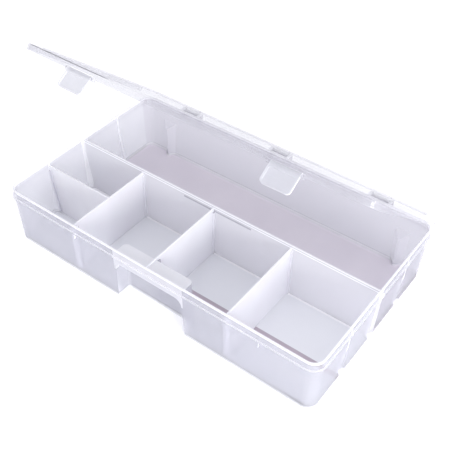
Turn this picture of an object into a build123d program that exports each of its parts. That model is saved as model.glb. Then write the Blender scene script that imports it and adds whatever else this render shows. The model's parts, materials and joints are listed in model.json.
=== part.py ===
from build123d import *
import os
from math import cos, radians, sin, tan

# A moulded box for craft parts: a frosted tray, a clear hinged lid, two latches and lift-out dividers.
# Millimetres, +Z up, X along the length, -Y towards the latches. The origin is the middle of the underside.
# Heights that follow the rim are given as drops below it.

# Tray
length = 356.0
width = 208.0
height = 66.0
corner_radius = 12.0
wall = 1.8
floor_thickness = 1.8
draft = 2.0
foot_radius = 2.5
floor_fillet = 4.0
partition_thickness = 1.6
partition_drop = 1.2
rim_bevel = 0.5
edge_bevel = 0.4

# Ledge round the tray, below the lid's skirt
ledge_drop = 8.8
ledge_thickness = 1.6
ledge_width = 1.2

# Pleats that stiffen the walls: wedges on the side walls, columns with a sloping top on the back wall
pleat_half_base = 6.0
pleat_half_ridge = 0.4
pleat_depth = 6.5
pleat_drop = 23.0
pleat_top_fall = 4.0
side_pleat_depth = 5.5
side_pleat_pitch = 51.0
back_left_pleat_x = -142.8
back_right_pleat_x = 150.0

# Finger recess in the middle of the front
recess_width = 80.0
recess_depth = 15.5
recess_drop = 7.8
recess_corner = 3.0
bar_drop = 17.5
bar_corner = 8.0

# Catches and the panels set back below them
catch_x = 105.0
catch_width = 33.0
catch_drop = 16.0
catch_corner = 3.0
panel_depth = 1.6

# Dividers and the guide ribs that hold them
divider_thickness = 1.6
divider_drop = 4.2
middle_divider_x = -4.0
divider_pitch = 89.5
divider_clearance = 0.3
guide_clearance = 0.2
guide_thickness = 1.2
guide_reach = 2.6
guide_drop = 8.0
cross_rib_height = 17.0

# Hinge between the tray and the lid
hinge_setback = 6.0
hinge_drop = 3.6
hinge_pin_radius = 1.5
hinge_bore_gap = 0.08
hinge_pitch = 118.0
ear_gap = 20.0
ear_thickness = 2.4
ear_radius = 3.2
clip_radius = 3.0
clip_web = 2.4
clip_end_gap = 0.5
clip_mouth = 2.2

# Lid
lid_open = 39.5
lid_gap = 0.4
skirt_thickness = 1.4
skirt_depth = 6.0
panel_thickness = 1.4
border_width = 9.0
border_rise = 1.0
lid_bevel = 0.7
skirt_end_setback = 14.0

# Latches
latch_open = 18.5
latch_width = 27.0
latch_thickness = 1.6
latch_drop = 17.8
latch_corner = 3.5
latch_bead = 0.7
latch_bead_width = 1.6
latch_pin_radius = 1.0
latch_bore_gap = 0.06
latch_barrel_radius = 2.0
latch_ledge_gap = 0.8
latch_end_gap = 0.5
latch_lug_width = 2.4
hook_width = 20.0
hook_clearance = 0.4
hook_overlap = 1.6
hook_height = 1.8

os.makedirs("parts", exist_ok=True)

# Worked out from the sizes above
slope = tan(radians(draft))
half_length = length / 2
half_width = width / 2
ledge_height = height - ledge_drop
ledge_front = half_width + ledge_width
pleat_height = height - pleat_drop
recess_height = height - recess_drop
bar_bottom = height - bar_drop
catch_height = height - catch_drop
divider_top = height - divider_drop
guide_top = height - guide_drop
short_divider_y = -side_pleat_pitch
hinge_y = half_width + hinge_setback
hinge_height = height - hinge_drop
hinge_stations = (-hinge_pitch, 0.0, hinge_pitch)
lid_inside_x = half_length + lid_gap
lid_inside_y = half_width + lid_gap
lid_outside_x = lid_inside_x + skirt_thickness
lid_outside_y = lid_inside_y + skirt_thickness
lid_underside = height + lid_gap
lid_shoulder = lid_underside + panel_thickness
skirt_bottom = lid_shoulder - skirt_depth
latch_axis_y = -(lid_inside_y + latch_barrel_radius)
latch_axis_height = skirt_bottom
divider_places = {
    "divider_left": middle_divider_x - divider_pitch,
    "divider_middle": middle_divider_x,
    "divider_right": middle_divider_x + divider_pitch,
}
overrun = 6.0


def narrowing(z):
    """How far the drafted walls stand in from the rim at height z."""
    return (height - z) * slope


def inner_front(z):
    """Y of the front wall's inside face at height z."""
    return -half_width + wall + narrowing(z)


def inner_left(z):
    """X of the left wall's inside face at height z."""
    return -half_length + wall + narrowing(z)


def side_tip(z):
    """How far in from the wall's foot the ridge of a side pleat stands at height z, on the outside."""
    return side_pleat_depth - z * (side_pleat_depth + pleat_height * slope) / pleat_height


def left_ridge(z):
    """X of the ridge of a left pleat on the inside, at height z."""
    return inner_left(0) + side_tip(z)


def recess_back(z):
    """Y of the finger recess's back face, on the outside, at height z."""
    return -half_width + narrowing(0) + recess_depth - z * slope


def recess_half(z):
    """Half the finger recess's width at height z."""
    return recess_width / 2 - z * slope


def tub(bottom, top, inset, edge_radius, bevel=0.0):
    """A block with the tray's drafted outline, set in by inset, with a rounded foot and a bevelled top."""
    sections = [(bottom, inset), (top - bevel, inset)]
    if bevel:
        sections.append((top, inset + bevel))
    with BuildPart() as block:
        for z, setback in sections:
            side = setback + narrowing(z)
            with BuildSketch(Plane.XY.offset(z)):
                RectangleRounded(length - 2 * side, width - 2 * side, corner_radius - side)
        loft(ruled=True)
        fillet(block.edges().group_by(Axis.Z)[0], edge_radius)
    return block.part


def finger_block(grow):
    """The finger recess as a drafted block, enlarged by grow on its sides, back and top."""
    top = recess_height + grow
    with BuildPart() as block:
        for z in (0.0, top):
            half = recess_half(z) + grow
            back = recess_back(z) + grow
            front = -half_width + wall
            with BuildSketch(Plane.XY.offset(z)) as plan:
                with Locations((0, (front + back) / 2)):
                    Rectangle(2 * half, back - front)
                fillet(plan.vertices().group_by(Axis.Y)[-1], recess_corner + grow)
        loft(ruled=True)
    return block.part


def finger_opening():
    """The opening in the front wall below the bar, with arched upper corners."""
    foot = recess_half(-1.0)
    head = recess_half(bar_bottom)
    with BuildPart() as opening:
        with BuildSketch(Plane.XZ.offset(half_width - recess_corner - wall)) as face:
            with BuildLine():
                Polyline((-foot, -1.0), (foot, -1.0), (head, bar_bottom), (-head, bar_bottom), close=True)
            make_face()
            fillet(face.vertices().group_by(Axis.Y)[-1], bar_corner)
        extrude(amount=recess_depth)
    return opening.part


def catch_panel(centre, grow):
    """The panel below a catch as a slab along the drafted front wall, enlarged all round by grow."""
    foot = -half_width + narrowing(0)
    lean = radians(draft)
    front = Plane(origin=(centre, foot, 0), x_dir=(1, 0, 0), z_dir=(0, -cos(lean), -sin(lean)))
    half = catch_width / 2 + grow
    top = catch_height / cos(lean) + grow
    with BuildPart() as slab:
        with BuildSketch(front) as face:
            with BuildLine():
                Polyline((-half, -overrun), (half, -overrun), (half, top), (-half, top), close=True)
            make_face()
            fillet(face.vertices().group_by(Axis.Y)[-1], catch_corner + grow)
        extrude(amount=overrun)
        extrude(face.face(), amount=-(panel_depth + grow))
    return slab.part


def pleat_corners(tip):
    """Plan of a pleat whose ridge faces +X at tip and whose sides spread outward."""
    spread = (pleat_half_base - pleat_half_ridge) / pleat_depth
    half = pleat_half_ridge + (tip + 2 * overrun) * spread
    return (
        (-2 * overrun, -half),
        (tip, -pleat_half_ridge),
        (tip, pleat_half_ridge),
        (-2 * overrun, half),
    )


def side_pleat(grow):
    """A side pleat as a wedge that leans out and dies away in the wall, enlarged by grow."""
    with BuildPart() as wedge:
        for z in (-overrun, pleat_height + overrun):
            with BuildSketch(Plane.XY.offset(z)):
                with BuildLine():
                    Polyline(*pleat_corners(side_tip(z)), close=True)
                make_face()
                if grow:
                    offset(amount=grow, kind=Kind.INTERSECTION)
        loft(ruled=True)
    return wedge.part


def back_pleat(grow):
    """A back pleat as an upright column with its top sloping down to the ridge, enlarged by grow."""
    fall = pleat_top_fall / pleat_depth
    rise = pleat_height + grow * (1 + fall**2) ** 0.5
    with BuildPart() as column:
        with BuildSketch(Plane.XY.offset(-overrun)):
            with BuildLine():
                Polyline(*pleat_corners(pleat_depth), close=True)
            make_face()
            if grow:
                offset(amount=grow, kind=Kind.INTERSECTION)
        extrude(amount=height + overrun)
        with BuildSketch(Plane.XZ):
            with BuildLine():
                Polyline(
                    (-2 * overrun - grow, -2 * overrun),
                    (pleat_depth + grow, -2 * overrun),
                    (pleat_depth + grow, rise - (pleat_depth + grow) * fall),
                    (-2 * overrun - grow, rise + (2 * overrun + grow) * fall),
                    close=True,
                )
            make_face()
        extrude(amount=height, both=True, mode=Mode.INTERSECT)
    return column.part


def side_pleat_places():
    """Where the side pleats stand: three on each side wall, facing inward."""
    side = half_length - narrowing(0)
    places = []
    for row in (-1, 0, 1):
        places.append(Location((-side, row * side_pleat_pitch, 0)))
        places.append(Location((side, row * side_pleat_pitch, 0), (0, 0, 180)))
    return places


def back_pleat_places():
    """Where the two back pleats stand, facing inward."""
    back = half_width - narrowing(0)
    return [Location((x, back, 0), (0, 0, -90)) for x in (back_left_pleat_x, back_right_pleat_x)]


def hinge_ears():
    """Pairs of ears behind the back wall, below its rim, with a moulded pin between each pair."""
    root = half_width - 0.75 * wall
    foot = hinge_height - 2 * hinge_setback - ear_radius
    with BuildPart() as ears:
        for station in hinge_stations:
            for side in (-1, 1):
                middle = station + side * (ear_gap + ear_thickness) / 2
                with BuildSketch(Plane.YZ.offset(middle)):
                    with BuildLine():
                        Polyline(
                            (hinge_y + ear_radius, hinge_height),
                            (hinge_y + ear_radius, hinge_height - ear_radius),
                            (root, foot),
                            (root, hinge_height + ear_radius),
                            (hinge_y, hinge_height + ear_radius),
                        )
                        TangentArc(
                            (hinge_y, hinge_height + ear_radius),
                            (hinge_y + ear_radius, hinge_height),
                            tangent=(1, 0),
                        )
                    make_face()
                extrude(amount=ear_thickness / 2, both=True)
            with BuildSketch(Plane.YZ.offset(station)):
                with Locations((hinge_y, hinge_height)):
                    Circle(hinge_pin_radius)
            extrude(amount=(ear_gap + ear_thickness) / 2, both=True)
    return ears.part


def partition():
    """The long partition, trimmed to end inside the side walls."""
    with BuildPart() as web:
        with BuildSketch(Plane.XY.offset(floor_thickness / 2)):
            Rectangle(length, partition_thickness)
        extrude(amount=height - partition_drop - floor_thickness / 2)
        chamfer(web.edges().group_by(Axis.Z)[-1].filter_by(Axis.X), edge_bevel)
        add(tub(0.0, height, wall / 2, foot_radius), mode=Mode.INTERSECT)
    return web.part


def cross_guides():
    """Plan of the guide ribs beside the three cross dividers, at the partition and at the front."""
    step = divider_thickness / 2 + guide_clearance + guide_thickness / 2
    for name, x in divider_places.items():
        tip = divider_front(name, floor_thickness) + guide_reach
        root = -half_width
        for side in (-1, 1):
            with Locations((x + side * step, (root + tip) / 2)):
                Rectangle(guide_thickness, tip - root)
            with Locations((x + side * step, -(partition_thickness / 2 + guide_reach) / 2)):
                Rectangle(guide_thickness, partition_thickness / 2 + guide_reach)


def guides():
    """All guide ribs, trimmed to end inside the walls that carry them."""
    step = divider_thickness / 2 + guide_clearance + guide_thickness / 2
    with BuildPart() as ribs:
        with BuildSketch(Plane.XY.offset(floor_thickness / 2)):
            cross_guides()
        extrude(amount=guide_top - floor_thickness / 2)
        for side in (-1, 1):
            with BuildSketch(Plane.XZ.offset(-(short_divider_y + side * step))):
                with BuildLine():
                    Polyline(
                        (-half_length, floor_thickness / 2),
                        (left_ridge(floor_thickness / 2) + guide_reach, floor_thickness / 2),
                        (left_ridge(pleat_height) + guide_reach, pleat_height),
                        (inner_left(guide_top) + guide_reach, guide_top),
                        (-half_length, guide_top),
                        close=True,
                    )
                make_face()
            extrude(amount=guide_thickness / 2, both=True)
        add(tub(0.0, height, wall / 2, foot_radius), mode=Mode.INTERSECT)
        add(finger_block(wall / 2), mode=Mode.SUBTRACT)
        for side in (-1, 1):
            add(catch_panel(side * catch_x, wall / 2), mode=Mode.SUBTRACT)
    return ribs.part


def divider_front(name, z):
    """Y at height z of the inside face that the front end of a cross divider meets."""
    if name == "divider_middle":
        return recess_back(z) + wall
    if name == "divider_left":
        return inner_front(z) + panel_depth
    return inner_front(z)


def cross_divider(name, x):
    """A cross divider as a plate between the partition and the front, its ends clear of both."""
    foot = floor_thickness + divider_clearance
    back = -partition_thickness / 2 - divider_clearance
    shelf = recess_height + wall + divider_clearance
    with BuildPart() as plate:
        with BuildSketch(Plane.YZ.offset(x)):
            with BuildLine():
                if name == "divider_middle":
                    Polyline(
                        (back, foot),
                        (back, divider_top),
                        (inner_front(divider_top) + divider_clearance, divider_top),
                        (inner_front(shelf) + divider_clearance, shelf),
                        (divider_front(name, shelf) + divider_clearance, shelf),
                        (divider_front(name, foot) + divider_clearance, foot),
                        close=True,
                    )
                else:
                    corner = foot + floor_fillet
                    Polyline(
                        (back, foot),
                        (back, divider_top),
                        (divider_front(name, divider_top) + divider_clearance, divider_top),
                        (divider_front(name, corner) + divider_clearance, corner),
                        (divider_front(name, foot) + divider_clearance + floor_fillet, foot),
                        close=True,
                    )
            make_face()
        extrude(amount=divider_thickness / 2, both=True)
        chamfer(plate.edges().group_by(Axis.Z)[-1].filter_by(Axis.Y), edge_bevel)
    return plate.part


def tilted(origin, angle):
    """A plane with Z up and Y to the back, tipped back about X by angle."""
    return Plane(origin=origin, x_dir=(1, 0, 0), z_dir=(0, sin(radians(angle)), cos(radians(angle))))


def side_plane(base, x):
    """The plane across base at x, seen from +X: its X is base's Y and its Y is base's Z."""
    return Plane(origin=base.from_local_coords((x, 0, 0)), x_dir=base.y_dir, z_dir=base.x_dir)


def front_plane(base, x, y):
    """The upright plane of base at x and y, facing the front: its X is base's X and its Y is base's Z."""
    return Plane(origin=base.from_local_coords((x, y, 0)), x_dir=base.x_dir, z_dir=-base.y_dir)


# Inside of the tray, with the recess, panels and pleats standing in it
recess_inside = finger_block(wall)
side_pleat_inside = side_pleat(wall)
back_pleat_inside = back_pleat(wall)
with BuildPart() as cavity:
    add(tub(floor_thickness, height + overrun, wall, floor_fillet))
    add(recess_inside, mode=Mode.SUBTRACT)
    for side in (-1, 1):
        add(catch_panel(side * catch_x, wall), mode=Mode.SUBTRACT)
    with Locations(*side_pleat_places()):
        add(side_pleat_inside, mode=Mode.SUBTRACT)
    with Locations(*back_pleat_places()):
        add(back_pleat_inside, mode=Mode.SUBTRACT)

# Tray
recess_outside = finger_block(0.0)
side_pleat_outside = side_pleat(0.0)
back_pleat_outside = back_pleat(0.0)
with BuildPart() as tray:
    add(tub(0.0, height, 0.0, foot_radius, rim_bevel))
    with BuildSketch(Plane.XY.offset(ledge_height)):
        RectangleRounded(
            length + 2 * ledge_width, width + 2 * ledge_width, corner_radius + ledge_width
        )
    extrude(amount=-ledge_thickness)
    with BuildSketch(Plane.XY.offset(ledge_height)):
        with Locations((-catch_x, -half_width), (catch_x, -half_width)):
            Rectangle(catch_width, 2 * ledge_width)
    extrude(amount=catch_height - ledge_height)
    add(cavity.part, mode=Mode.SUBTRACT)
    chamfer(tray.faces().sort_by(Axis.Z)[-1].inner_wires()[0].edges(), rim_bevel)
    # Long partition and guide ribs, moulded in one with the tray
    add(partition())
    add(guides())
    # What is pressed into the walls from outside
    add(recess_outside, mode=Mode.SUBTRACT)
    add(finger_opening(), mode=Mode.SUBTRACT)
    for side in (-1, 1):
        add(catch_panel(side * catch_x, 0.0), mode=Mode.SUBTRACT)
    with Locations(*side_pleat_places()):
        add(side_pleat_outside, mode=Mode.SUBTRACT)
    with Locations(*back_pleat_places()):
        add(back_pleat_outside, mode=Mode.SUBTRACT)
    add(hinge_ears())
tray.part.label = "tray"
export_step(tray.part, "parts/tray.step")

# Cross dividers, the left one with two guide ribs for the short divider: in front low down, behind high up
dividers = {name: cross_divider(name, x) for name, x in divider_places.items()}
left_face_x = divider_places["divider_left"] - divider_thickness / 2
with BuildPart() as divider_left:
    add(dividers["divider_left"])
    rib_step = divider_thickness / 2 + guide_clearance + guide_thickness / 2
    for side, foot in ((-1, floor_thickness + divider_clearance), (1, guide_top - cross_rib_height)):
        with BuildSketch(Plane.XY.offset(foot)):
            with Locations((left_face_x - guide_reach / 2, short_divider_y + side * rib_step)):
                Rectangle(guide_reach, guide_thickness)
        extrude(amount=cross_rib_height)
divider_left.part.label = "divider_left"
export_step(divider_left.part, "parts/divider_left.step")

for name in ("divider_middle", "divider_right"):
    plate = dividers[name]
    plate.label = name
    export_step(plate, f"parts/{name}.step")

# Short divider, its left end following the wall and the ridge of the pleat behind it
with BuildPart() as short_divider:
    foot = floor_thickness + divider_clearance
    with BuildSketch(Plane.XZ.offset(-short_divider_y)):
        with BuildLine():
            Polyline(
                (left_face_x - divider_clearance, foot),
                (left_face_x - divider_clearance, divider_top),
                (inner_left(divider_top) + divider_clearance, divider_top),
                (left_ridge(pleat_height) + divider_clearance, pleat_height),
                (left_ridge(foot) + divider_clearance, foot),
                close=True,
            )
        make_face()
    extrude(amount=divider_thickness / 2, both=True)
    chamfer(short_divider.edges().group_by(Axis.Z)[-1].filter_by(Axis.X), edge_bevel)
short_divider.part.label = "short_divider"
export_step(short_divider.part, "parts/short_divider.step")

# Lid, built on a plane through the hinge axis that is tipped back by the angle at which the lid stands open
lid_plane = tilted((0, hinge_y, hinge_height), lid_open)
lid_corner = corner_radius + lid_gap
skirt_end = half_width - skirt_end_setback
latch_half = latch_width / 2 + latch_end_gap
notch_top = latch_axis_height + latch_barrel_radius + lid_gap
with BuildPart() as lid:
    with BuildSketch(lid_plane.offset(skirt_bottom - hinge_height)):
        with Locations((0, -hinge_y)):
            RectangleRounded(2 * lid_outside_x, 2 * lid_outside_y, lid_corner + skirt_thickness)
    extrude(amount=lid_shoulder - skirt_bottom)
    chamfer(lid.faces().sort_by(Axis(lid_plane.origin, lid_plane.z_dir))[-1].edges(), lid_bevel)
    with BuildSketch(lid_plane.offset(lid_shoulder - hinge_height)):
        with Locations((0, -hinge_y)):
            RectangleRounded(
                2 * (lid_outside_x - border_width), 2 * (lid_outside_y - border_width), corner_radius
            )
    extrude(amount=border_rise, taper=45)
    # Hollow of the skirt, and of the raised panel above it
    with BuildSketch(lid_plane.offset(skirt_bottom - hinge_height)):
        with Locations((0, -hinge_y)):
            RectangleRounded(2 * lid_inside_x, 2 * lid_inside_y, lid_corner)
    extrude(amount=lid_underside - skirt_bottom, mode=Mode.SUBTRACT)
    with BuildSketch(lid_plane.offset(lid_underside - hinge_height)):
        with Locations((0, -hinge_y)):
            RectangleRounded(
                2 * (lid_outside_x - border_width - panel_thickness / 2),
                2 * (lid_outside_y - border_width - panel_thickness / 2),
                corner_radius - panel_thickness / 2,
            )
    extrude(amount=border_rise, taper=45, mode=Mode.SUBTRACT)
    # The skirt stops short of the hinge so that the lid can swing back
    with BuildSketch(lid_plane.offset(skirt_bottom - hinge_height - overrun)):
        with Locations((0, skirt_end - hinge_y)):
            Rectangle(2 * length, 4 * skirt_end_setback, align=(Align.CENTER, Align.MIN))
    extrude(amount=lid_underside - skirt_bottom + overrun, mode=Mode.SUBTRACT)
    # Notches for the latches, each with a pin between two lugs
    with BuildSketch(lid_plane.offset(notch_top - hinge_height)):
        with Locations((-catch_x, -lid_inside_y - hinge_y), (catch_x, -lid_inside_y - hinge_y)):
            Rectangle(2 * latch_half, 2 * overrun)
    extrude(amount=-2 * overrun, mode=Mode.SUBTRACT)
    for centre in (-catch_x, catch_x):
        for side in (-1, 1):
            middle = centre + side * (latch_half + latch_lug_width / 2)
            with BuildSketch(side_plane(lid_plane, middle)):
                with Locations((latch_axis_y - hinge_y, latch_axis_height - hinge_height)):
                    Circle(latch_barrel_radius)
                    Rectangle(
                        latch_barrel_radius, 2 * latch_barrel_radius, align=(Align.MIN, Align.CENTER)
                    )
            extrude(amount=latch_lug_width / 2, both=True)
        with BuildSketch(side_plane(lid_plane, centre)):
            with Locations((latch_axis_y - hinge_y, latch_axis_height - hinge_height)):
                Circle(latch_pin_radius)
        extrude(amount=latch_half + latch_lug_width / 2, both=True)
    # Clips that snap over the tray's hinge pins
    clip_half = ear_gap / 2 - clip_end_gap
    tongue = hinge_y - lid_outside_y + clip_web
    for station in hinge_stations:
        with BuildSketch(side_plane(lid_plane, station)):
            Circle(clip_radius)
            with Locations((clip_web / 2, lid_underside - hinge_height)):
                Rectangle(tongue, panel_thickness, align=(Align.MAX, Align.MIN))
            Rectangle(
                clip_web,
                lid_underside + panel_thickness / 2 - hinge_height,
                align=(Align.CENTER, Align.MIN),
            )
            Circle(hinge_pin_radius + hinge_bore_gap, mode=Mode.SUBTRACT)
            Rectangle(
                clip_mouth, 2 * clip_radius, align=(Align.CENTER, Align.MAX), mode=Mode.SUBTRACT
            )
        extrude(amount=clip_half, both=True)
lid.part.label = "lid"
export_step(lid.part, "parts/lid.step")


def latch(centre):
    """A latch as a barrel round its pin, a plate with a raised border and a hook for the catch."""
    axis = lid_plane.from_local_coords((0, latch_axis_y - hinge_y, latch_axis_height - hinge_height))
    base = tilted(axis, lid_open + latch_open)
    inner_y = -(ledge_front + latch_ledge_gap) - latch_axis_y
    outer_y = inner_y - latch_thickness
    hook_top = catch_height - hook_clearance - latch_axis_height
    with BuildPart() as tab:
        with BuildSketch(side_plane(base, centre)):
            Circle(latch_barrel_radius)
        extrude(amount=latch_width / 2, both=True)
        with BuildSketch(front_plane(base, centre, inner_y)) as outline:
            Rectangle(latch_width, latch_drop, align=(Align.CENTER, Align.MAX))
            fillet(outline.vertices().group_by(Axis.Y)[0], latch_corner)
        extrude(amount=latch_thickness)
        with BuildSketch(front_plane(base, centre, outer_y)) as border:
            Rectangle(latch_width, latch_drop, align=(Align.CENTER, Align.MAX))
            fillet(border.vertices().group_by(Axis.Y)[0], latch_corner)
            with Locations((0, -(latch_drop + latch_barrel_radius) / 2)):
                RectangleRounded(
                    latch_width - 2 * latch_bead_width,
                    latch_drop - latch_barrel_radius - 2 * latch_bead_width,
                    latch_corner - latch_bead_width,
                    mode=Mode.SUBTRACT,
                )
        extrude(amount=latch_bead)
        with BuildSketch(side_plane(base, centre)):
            with BuildLine():
                tip_y = -(ledge_front - hook_overlap) - latch_axis_y
                Polyline(
                    (inner_y - latch_thickness / 2, hook_top),
                    (tip_y, hook_top),
                    (tip_y, hook_top - hook_height / 3),
                    (inner_y - latch_thickness / 2, hook_top - 2 * hook_height),
                    close=True,
                )
            make_face()
        extrude(amount=hook_width / 2, both=True)
        with BuildSketch(side_plane(base, centre)):
            Circle(latch_pin_radius + latch_bore_gap)
        extrude(amount=latch_width, both=True, mode=Mode.SUBTRACT)
    return tab.part


for name, centre in (("latch_left", -catch_x), ("latch_right", catch_x)):
    tab = latch(centre)
    tab.label = name
    export_step(tab, f"parts/{name}.step")
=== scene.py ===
import json
from math import cos, radians, sin

import bpy
from mathutils import Matrix, Vector


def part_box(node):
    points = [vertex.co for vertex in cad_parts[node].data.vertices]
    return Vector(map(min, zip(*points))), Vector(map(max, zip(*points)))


# A moulded box for craft parts, in metres and degrees: +Z up, X along the length, -Y towards the latches.

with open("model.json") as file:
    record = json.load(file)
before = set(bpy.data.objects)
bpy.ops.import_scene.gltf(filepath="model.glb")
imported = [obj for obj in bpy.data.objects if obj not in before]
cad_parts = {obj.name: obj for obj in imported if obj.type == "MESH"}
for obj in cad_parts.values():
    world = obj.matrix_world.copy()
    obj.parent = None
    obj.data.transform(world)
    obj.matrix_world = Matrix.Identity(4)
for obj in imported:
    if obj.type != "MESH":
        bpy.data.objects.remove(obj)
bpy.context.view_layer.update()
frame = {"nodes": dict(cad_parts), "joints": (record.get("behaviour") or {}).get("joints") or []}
joints = {joint["name"]: joint for joint in frame["joints"]}

# Camera, at the photograph's viewing angle
camera_azimuth = 35.84
camera_elevation = 42.95
camera_roll = 1.29
camera_distance = 0.700
camera_target = Vector((0.0292, -0.0272, 0.0778))
camera_lens = 61.63
camera_sensor = 36.0
camera_near = 0.01

# Sky, brighter towards one direction: its strength goes from dim to bright between two cosines of the
# angle from that direction. The camera sees the backdrop instead.
sky_bright = 1.22
sky_dim = 0.42
bright_cosine = 0.85
dim_cosine = -0.65
sky_azimuth = 34.0
sky_elevation = 50.0
sky_colour = (0.97, 0.97, 1.0, 1.0)
backdrop_white = (1.0, 1.0, 1.0, 1.0)

# Lamp
key_power = 62.0
key_size = 1.0
key_azimuth = 67.0
key_elevation = 11.0
key_distance = 2.4

# Floor under the box
floor_size = 30.0
floor_colour = (0.90, 0.90, 0.92, 1.0)
floor_glow = 0.22

# Plastics: base colour, its patchy second colour, tint of what shows through, roughness, share of light let
# through clear, share of the rest passed on as a glow, size and depth of the grain
frosted = {
    "colour": (0.83, 0.83, 0.87, 1.0),
    "shade": (0.79, 0.79, 0.835, 1.0),
    "tint": (0.905, 0.905, 0.925, 1.0),
    "roughness": 0.42,
    "clear": 0.68,
    "glow": 0.46,
    "grain": 900.0,
    "depth": 0.00012,
}
dividing = {
    "colour": (0.95, 0.955, 0.975, 1.0),
    "shade": (0.93, 0.92, 0.95, 1.0),
    "tint": (0.98, 0.98, 0.99, 1.0),
    "roughness": 0.34,
    "clear": 0.32,
    "glow": 0.50,
    "grain": 500.0,
    "depth": 0.00006,
}
clear = {
    "colour": (0.66, 0.66, 0.69, 1.0),
    "shade": (0.61, 0.61, 0.64, 1.0),
    "tint": (0.965, 0.965, 0.975, 1.0),
    "roughness": 0.12,
    "clear": 0.78,
    "glow": 0.35,
    "grain": 60.0,
    "depth": 0.0002,
}
latching = {
    "colour": (0.76, 0.765, 0.80, 1.0),
    "shade": (0.71, 0.715, 0.76, 1.0),
    "tint": (0.96, 0.96, 0.97, 1.0),
    "roughness": 0.22,
    "clear": 0.48,
    "glow": 0.35,
    "grain": 120.0,
    "depth": 0.0001,
}
# The short divider's colour, whiter than the other dividers' as painted light
short_painted_light = (0.99, 0.99, 1.0, 1.0)

# What all the plastics share: the glossy skin, then the noise behind the patches, scratches and grain
gloss = {"IOR": 1.49, "Coat Weight": 0.6, "Coat IOR": 1.6, "Coat Roughness": 0.08}
patch_scale = 22.0
patch_detail = 3.0
patch_range = (0.35, 0.65)
scratch_scale = 60.0
scratch_detail = 4.0
scratch_stretch = (1.0, 14.0, 14.0)
scratch_range = (0.62, 0.72)
scratch_roughness = 0.12
grain_detail = 2.0
grain_strength = 0.5

# Accents: colours, shares of light let through clear, and the glow of the white edges, which are painted
# highlights that glow though they are no lamp
highlight_white = (0.94, 0.94, 0.965, 1.0)
highlight_clear = 0.12
highlight_glow = 0.10
lip_highlight_clear = 0.40
web_white = (0.98, 0.985, 1.0, 1.0)
web_clear = 0.45
# Painted shade on the back wall: a greyer mauve, less clear
back_painted_shade = (0.68, 0.665, 0.72, 1.0)
back_shade_clear = 0.63
# Painted shade: the grey of the shelf over the recess
shelf_painted_shade = (0.50, 0.51, 0.54, 1.0)
panel_white = (0.60, 0.60, 0.62, 1.0)
panel_clear = 0.74
# Painted shade: the dark grey, opaque bevel of the lid's free edge
free_edge_painted_shade = (0.09, 0.09, 0.10, 1.0)
free_edge_shade_clear = 0.0
floor_mauve = (0.81, 0.765, 0.83, 1.0)
floor_shade = (0.77, 0.725, 0.795, 1.0)
# Painted light and reflection: the paler, bluer front half of the floor
front_floor_painted_light = (0.84, 0.85, 0.885, 1.0)
# Painted shadow: the dark strip across the front cells' floors
painted_shadow_mauve = (0.47, 0.40, 0.46, 1.0)
base_clear = 0.10

# Bands of the cosine between a face and an axis, over which a face comes to count as square to the axis
square_band = (0.80, 0.95)
level_band = (0.55, 0.85)
bevel_band = (0.93, 0.97)
plate_band = (0.30, 0.70)
x_axis = (1.0, 0.0, 0.0)
y_axis = (0.0, 1.0, 0.0)
z_axis = (0.0, 0.0, 1.0)

# Where the finish, the painted highlights and the painted shade change on the tray and the dividers: each
# change starts at its place and takes the fade's width. The rim's top is the highest Z of the tray.
fade = 0.0004
rim_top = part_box("tray")[1][2]
rim_band = rim_top - 0.0022
edges_start = rim_top - 0.0104
top_line = rim_top - 0.0042
top_line_half = 0.00025
web_half = 0.0012
guide_reach = 0.0045
foot_top = 0.0042
back_start = 0.0926
front_zone = -0.0974
step_start = 0.0411
step_end = 0.150
pleat_pitch = 0.051
pleat_half_ridge = 0.0008
pleat_start = 0.160
recess_half = 0.0401
shelf_front = 0.1016
shelf_low = 0.0571
shelf_high = 0.0591
bar_back = -0.0989
bar_low = 0.0396

# The tray's floor: its top, the painted highlight along the foot of the partition, its front half, painted
# paler as light and reflection, and the painted shadow strip across it
floor_top = 0.0022
foot_highlight_width = 0.0022
front_half = -0.0004
shadow_strip_back = -0.0540
shadow_strip_front = -0.0589
shadow_strip_left = 0.0076

# The lid, open by the angle between its rest and its shut limit, and its free edge, bevelled at 45 degrees
# and painted dark there as shade
hinge_place = Vector(joints["lid_hinge"]["pos_m"])
lid_angle = radians(-joints["lid_hinge"]["range_deg"][0])
lid_up = Vector((0.0, sin(lid_angle), cos(lid_angle)))
lip_height = rim_top - 0.0015
bevel_angle = lid_angle - radians(45.0)
bevel_up = Vector((0.0, sin(bevel_angle), cos(bevel_angle)))
free_edge_left = -0.082
free_edge_fade = 0.008
free_edge_high = 0.2021
free_edge_front = -0.0529
bevel_fade = 0.0002

# The latches, whose plates are upright when they hang hooked on the shut lid
latch_angle = lid_angle - radians(joints["latch_left_hinge"]["range_deg"][0])
latch_out = Vector((0.0, -cos(latch_angle), sin(latch_angle)))


def new_node(tree, kind, inputs=None, **settings):
    """A shader node with its settings, and a value or a link for each input named."""
    node = tree.nodes.new(kind)
    for name, value in settings.items():
        setattr(node, name, value)
    for name, value in (inputs or {}).items():
        if isinstance(value, bpy.types.NodeSocket):
            tree.links.new(value, node.inputs[name])
        else:
            node.inputs[name].default_value = value
    return node


def cleared(block):
    """The emptied node tree of a material or a world."""
    block.use_nodes = True
    block.node_tree.nodes.clear()
    return block.node_tree


def noise(tree, where, scale, detail, stretch=(1.0, 1.0, 1.0)):
    """Noise over the object's own coordinates, stretched along its axes."""
    placed = new_node(tree, "ShaderNodeMapping", {"Vector": where, "Scale": stretch}).outputs["Vector"]
    texture = new_node(tree, "ShaderNodeTexNoise", {"Vector": placed, "Scale": scale, "Detail": detail})
    return texture.outputs["Fac"]


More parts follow.
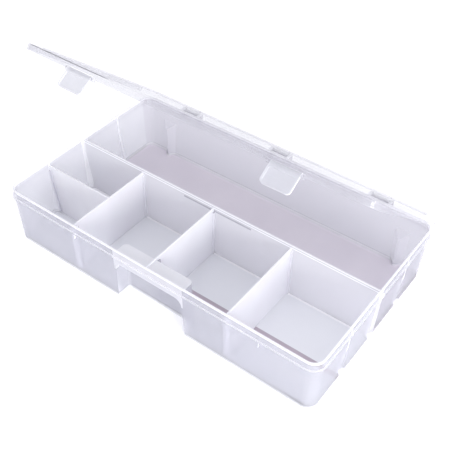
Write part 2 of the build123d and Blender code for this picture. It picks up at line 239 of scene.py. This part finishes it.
def remap(tree, value, low, high, to_low, to_high):
    """The value carried linearly from one range to another, and held inside it."""
    node = new_node(
        tree,
        "ShaderNodeMapRange",
        {"Value": value, "From Min": low, "From Max": high, "To Min": to_low, "To Max": to_high},
    )
    return node.outputs["Result"]


def maths(tree, operation, first, second=0.0):
    """The result of a math node, from sockets or numbers."""
    return new_node(tree, "ShaderNodeMath", {0: first, 1: second}, operation=operation).outputs["Value"]


def product(tree, *factors):
    """The product of two or more masks, which is 1 where all of them are 1."""
    result = factors[0]
    for factor in factors[1:]:
        result = maths(tree, "MULTIPLY", result, factor)
    return result


def split(tree, vector):
    """The X, Y and Z of a vector."""
    return new_node(tree, "ShaderNodeSeparateXYZ", {"Vector": vector}).outputs


def along(tree, vector, axis):
    """How far a vector reaches along an axis."""
    node = new_node(tree, "ShaderNodeVectorMath", {0: vector, 1: axis}, operation="DOT_PRODUCT")
    return node.outputs["Value"]


def away(tree, value, centre=0.0):
    """How far a coordinate is from a centre, on either side of it."""
    return maths(tree, "ABSOLUTE", maths(tree, "SUBTRACT", value, centre))


def under(tree, value, place, width=fade):
    """1 below a place and 0 above it, changing over a width that starts at the place."""
    return remap(tree, value, place, place + width, 1.0, 0.0)


def over(tree, value, place):
    """0 below a place and 1 above it, changing over the fade's width."""
    return remap(tree, value, place, place + fade, 0.0, 1.0)


def between(tree, value, low, high):
    """1 from a low place to a high one, and 0 outside them."""
    return product(tree, over(tree, value, low), under(tree, value, high))


def facing(tree, axis, band=square_band):
    """1 on faces square to an axis of the object, and 0 on faces that run along it."""
    normal = new_node(tree, "ShaderNodeTexCoord").outputs["Normal"]
    return remap(tree, away(tree, along(tree, normal, axis)), *band, 0.0, 1.0)


def blended(tree, factor, first, second):
    """Two colours mixed by a factor, on the Mix node's sockets for colours."""
    return new_node(tree, "ShaderNodeMix", {0: factor, 6: first, 7: second}, data_type="RGBA").outputs[2]


def lerped(tree, factor, first, second):
    """Two numbers mixed by a factor, on the Mix node's sockets for numbers."""
    return new_node(tree, "ShaderNodeMix", {0: factor, 2: first, 3: second}).outputs[0]


def shader_mix(tree, factor, first, second):
    """Two shaders mixed by a factor."""
    return new_node(tree, "ShaderNodeMixShader", {"Fac": factor, 1: first, 2: second}).outputs["Shader"]


def highlit_upward_edges(tree, where):
    """Level faces near the top of a piece, and all of the rim's uppermost band, where painted highlights
    go.
    """
    height = split(tree, where)["Z"]
    edges = product(tree, facing(tree, z_axis, level_band), over(tree, height, edges_start))
    return maths(tree, "MAXIMUM", edges, over(tree, height, rim_band))


def shaded_recess_shelf(tree, where):
    """The shelf over the finger recess, painted grey as shade."""
    place = split(tree, where)
    across = under(tree, away(tree, place["X"]), recess_half)
    inside = under(tree, away(tree, place["Y"]), shelf_front)
    return product(tree, across, inside, between(tree, place["Z"], shelf_low, shelf_high))


def highlit_recess_bar(tree, where):
    """The bar across the finger recess, painted pale as a highlight."""
    place = split(tree, where)
    across = under(tree, away(tree, place["X"]), recess_half)
    forward = under(tree, place["Y"], bar_back)
    return product(tree, across, forward, over(tree, place["Z"], bar_low))


def shaded_back_wall(tree, where):
    """The back wall with its columns, given a greyer, less clear tone as painted shade."""
    return over(tree, split(tree, where)["Y"], back_start)


def partition_web(tree, where):
    """The long partition, which stands on the X axis."""
    return under(tree, away(tree, split(tree, where)["Y"]), web_half)


def guide_rib_highlights(tree, where):
    """The guide ribs on both sides of the partition, painted white as highlights."""
    return between(tree, away(tree, split(tree, where)["Y"]), web_half, guide_reach)


def partition_highlight_line(tree, where):
    """The thin line along the partition, below its top edge, where a painted highlight goes."""
    narrow = under(tree, away(tree, split(tree, where)["Z"], top_line), top_line_half)
    return product(tree, narrow, partition_web(tree, where))


def wall_foot_highlights(tree, where):
    """The feet of the walls, the partition and the ribs, just above the floor, where a painted highlight
    goes.
    """
    return under(tree, split(tree, where)["Z"], foot_top)


def front_step_highlights(tree, where):
    """The sides of the steps, catches and guide ribs on the front wall, where painted highlights go."""
    place = split(tree, where)
    beside = between(tree, away(tree, place["X"]), step_start, step_end)
    forward = under(tree, place["Y"], front_zone)
    return product(tree, facing(tree, x_axis), beside, forward)


def pleat_ridge_highlights(tree, where):
    """The ridges of the wedges on the side walls, where painted highlights go."""
    place = split(tree, where)
    ridge = away(tree, away(tree, place["Y"]), pleat_pitch)
    outer = over(tree, away(tree, place["X"]), pleat_start)
    return product(tree, under(tree, ridge, pleat_half_ridge), outer)


def skirt_lip_highlights(tree, where):
    """The lower lips of the lid's skirt and hinge clips, where painted highlights go."""
    top = lip_height - hinge_place.z + hinge_place.dot(lid_up)
    low = under(tree, along(tree, where, lid_up), top)
    return product(tree, facing(tree, lid_up), low)


def lid_panel(tree, where):
    """The broad faces of the lid, those of its panel and of the panel's border."""
    return facing(tree, lid_up)


def shaded_free_edge(tree, where):
    """The bevel of the lid's free edge, painted dark as shade towards its left end."""
    place = split(tree, where)
    left = under(tree, place["X"], free_edge_left, free_edge_fade)
    ahead = under(tree, place["Y"], free_edge_front, bevel_fade)
    high = over(tree, place["Z"], free_edge_high)
    return product(tree, facing(tree, bevel_up, bevel_band), left, ahead, high)


def latch_rim_highlights(tree, where):
    """The narrow faces round a latch, square to its plate, where painted highlights go."""
    return maths(tree, "SUBTRACT", 1.0, facing(tree, latch_out, plate_band))


def end_face_highlights(tree, where):
    """The faces of a divider that look along the box, where painted highlights go."""
    return facing(tree, x_axis)


def front_face_highlights(tree, where):
    """The faces of a divider that look to the front and the back, where painted highlights go."""
    return facing(tree, y_axis)


def tray_floor(tree, where, patches, dull, see_through):
    """The tray's floor: patchy, paler in its front half as painted light and reflection, with a painted
    shadow strip and a painted highlight along the partition's foot.
    """
    place = split(tree, where)
    strip = product(
        tree,
        over(tree, place["X"], shadow_strip_left),
        between(tree, place["Y"], shadow_strip_front, shadow_strip_back),
    )
    foot = under(tree, away(tree, place["Y"]), foot_highlight_width)
    tone = blended(tree, patches, floor_mauve, floor_shade)
    # The front half painted paler, as light and reflection
    tone = blended(tree, under(tree, place["Y"], front_half), tone, front_floor_painted_light)
    # The strip painted dark, as a shadow
    tone = blended(tree, strip, tone, painted_shadow_mauve)
    # The partition's foot painted white, as a highlight
    tone = blended(tree, foot, tone, highlight_white)
    base = new_node(tree, "ShaderNodeBsdfPrincipled", {**gloss, "Base Color": tone, "Roughness": dull})
    return shader_mix(tree, base_clear, base.outputs["BSDF"], see_through)


def plastic(name, look, accents, floored=False):
    """Moulded polypropylene, patchy, scratched and grained, which lets light through and passes it on.

    Each accent is a mask with its colour, its share of light let through clear and its own light, which is
    the glow of a painted highlight, and covers the accents before it.
    """
    material = bpy.data.materials.new(name)
    tree = cleared(material)
    where = new_node(tree, "ShaderNodeTexCoord").outputs["Object"]
    patches = remap(tree, noise(tree, where, patch_scale, patch_detail), *patch_range, 0.0, 1.0)
    scratches = noise(tree, where, scratch_scale, scratch_detail, scratch_stretch)
    polished = look["roughness"]
    dull = remap(tree, scratches, *scratch_range, polished, polished + scratch_roughness)
    grain = noise(tree, where, look["grain"], grain_detail)
    bump_inputs = {"Height": grain, "Strength": grain_strength, "Distance": look["depth"]}
    normal = new_node(tree, "ShaderNodeBump", bump_inputs).outputs["Normal"]
    body = blended(tree, patches, look["colour"], look["shade"])
    share = look["clear"]
    # The accents' own light is the glow of the painted highlights
    light = 0.0
    for mask, accent_colour, accent_share, accent_glow in accents:
        factor = mask(tree, where)
        body = blended(tree, factor, body, accent_colour)
        share = lerped(tree, factor, share, accent_share)
        light = lerped(tree, factor, light, accent_glow)
    skin_inputs = {
        "Base Color": body,
        "Roughness": dull,
        "Normal": normal,
        "Emission Color": highlight_white,
        "Emission Strength": light,
    }
    skin = new_node(tree, "ShaderNodeBsdfPrincipled", {**gloss, **skin_inputs}).outputs["BSDF"]
    passed = new_node(tree, "ShaderNodeBsdfTranslucent", {"Color": body, "Normal": normal}).outputs["BSDF"]
    see_through = new_node(tree, "ShaderNodeBsdfTransparent", {"Color": look["tint"]}).outputs["BSDF"]
    solid = shader_mix(tree, look["glow"], skin, passed)
    surface = shader_mix(tree, share, solid, see_through)
    if floored:
        low = under(tree, split(tree, where)["Z"], floor_top)
        surface = shader_mix(tree, low, surface, tray_floor(tree, where, patches, dull, see_through))
    new_node(tree, "ShaderNodeOutputMaterial", {"Surface": surface})
    return material


def dress(node, material):
    """Puts a material in the only slot of a node."""
    slots = frame["nodes"][node].data.materials
    slots.clear()
    slots.append(material)


def add_materials():
    """Each node's plastic."""
    # Painted highlights: white edges that glow, nearly opaque ones and milky ones
    bright = (highlight_white, highlight_clear, highlight_glow)
    milky_highlight = (highlight_white, lip_highlight_clear, highlight_glow)
    moulding = (
        (shaded_back_wall, back_painted_shade, back_shade_clear, 0.0),
        (partition_web, web_white, web_clear, 0.0),
        (wall_foot_highlights, *milky_highlight),
        (partition_highlight_line, *bright),
        (guide_rib_highlights, highlight_white, web_clear, highlight_glow),
        (front_step_highlights, *bright),
        (pleat_ridge_highlights, *bright),
        (highlit_recess_bar, highlight_white, lip_highlight_clear, 0.0),
        (highlit_upward_edges, *bright),
        (shaded_recess_shelf, shelf_painted_shade, web_clear, 0.0),
    )
    covering = (
        (lid_panel, panel_white, panel_clear, 0.0),
        (skirt_lip_highlights, *milky_highlight),
        (shaded_free_edge, free_edge_painted_shade, free_edge_shade_clear, 0.0),
    )
    dress("tray", plastic("frosted", frosted, moulding, floored=True))
    dress("lid", plastic("clear", clear, covering))
    latch_plastic = plastic("latching", latching, ((latch_rim_highlights, *milky_highlight),))
    for node in ("latch_left", "latch_right"):
        dress(node, latch_plastic)
    top_highlights = (highlit_upward_edges, *bright)
    divider_plastic = plastic("dividing", dividing, ((front_face_highlights, *bright), top_highlights))
    for node in ("divider_left", "divider_middle", "divider_right"):
        dress(node, divider_plastic)
    # The short divider: the dividers' plastic, painted whiter as light
    short = dict(dividing, colour=short_painted_light)
    dress("short_divider", plastic("dividing_short_painted_light", short, ((end_face_highlights, *bright), top_highlights)))


def add_floor():
    """A plain pale floor, whose glow is seen by the camera and lights nothing."""
    material = bpy.data.materials.new("floor")
    tree = cleared(material)
    camera_ray = new_node(tree, "ShaderNodeLightPath").outputs["Is Camera Ray"]
    seen = maths(tree, "MULTIPLY", camera_ray, floor_glow)
    glow = new_node(tree, "ShaderNodeEmission", {"Strength": seen})
    matt = new_node(tree, "ShaderNodeBsdfDiffuse", {"Color": floor_colour})
    both = new_node(tree, "ShaderNodeAddShader", {0: matt.outputs["BSDF"], 1: glow.outputs["Emission"]})
    new_node(tree, "ShaderNodeOutputMaterial", {"Surface": both.outputs["Shader"]})
    half = floor_size / 2
    mesh = bpy.data.meshes.new("floor")
    corners = [(-half, -half, 0.0), (half, -half, 0.0), (half, half, 0.0), (-half, half, 0.0)]
    mesh.from_pydata(corners, [], [(0, 1, 2, 3)])
    mesh.materials.append(material)
    floor = bpy.data.objects.new("floor", mesh)
    bpy.context.scene.collection.objects.link(floor)


def direction(azimuth, elevation):
    """The unit vector from the object towards azimuth and elevation, azimuth 0 being the latch side."""
    a = radians(azimuth)
    e = radians(elevation)
    return Vector((sin(a) * cos(e), -cos(a) * cos(e), sin(e)))


def add_sky():
    """A sky that is brighter on one side, and plain white to the camera."""
    world = bpy.data.worlds.new("sky")
    tree = cleared(world)
    heading = new_node(tree, "ShaderNodeTexCoord").outputs["Generated"]
    cosine = along(tree, heading, direction(sky_azimuth, sky_elevation))
    strength = remap(tree, cosine, dim_cosine, bright_cosine, sky_dim, sky_bright)
    lit = new_node(tree, "ShaderNodeBackground", {"Color": sky_colour, "Strength": strength})
    seen = new_node(tree, "ShaderNodeBackground", {"Color": backdrop_white})
    camera_ray = new_node(tree, "ShaderNodeLightPath").outputs["Is Camera Ray"]
    either = shader_mix(tree, camera_ray, lit.outputs["Background"], seen.outputs["Background"])
    new_node(tree, "ShaderNodeOutputWorld", {"Surface": either})
    bpy.context.scene.world = world


def add_lamp():
    """One large soft lamp, low at the front right."""
    lamp = bpy.data.lights.new("key", "AREA")
    lamp.energy = key_power
    lamp.size = key_size
    key = bpy.data.objects.new("key", lamp)
    towards = direction(key_azimuth, key_elevation)
    key.location = towards * key_distance
    key.rotation_euler = towards.to_track_quat("Z", "Y").to_euler()
    bpy.context.scene.collection.objects.link(key)


def add_camera():
    """The camera, turned about its own axis by the photograph's roll."""
    back = direction(camera_azimuth, camera_elevation)
    level = Vector((cos(radians(camera_azimuth)), sin(radians(camera_azimuth)), 0.0))
    upright = back.cross(level)
    turn = radians(camera_roll)
    right = level * cos(turn) + upright * sin(turn)
    up = upright * cos(turn) - level * sin(turn)
    data = bpy.data.cameras.new("camera")
    data.lens = camera_lens
    data.sensor_width = camera_sensor
    data.clip_start = camera_near
    camera = bpy.data.objects.new("camera", data)
    axes = Matrix((right, up, back)).transposed().to_4x4()
    camera.matrix_world = Matrix.Translation(camera_target + back * camera_distance) @ axes
    bpy.context.scene.collection.objects.link(camera)
    bpy.context.scene.camera = camera


add_materials()
add_floor()
add_sky()
add_lamp()
add_camera()
bpy.context.scene.view_settings.view_transform = "Standard"
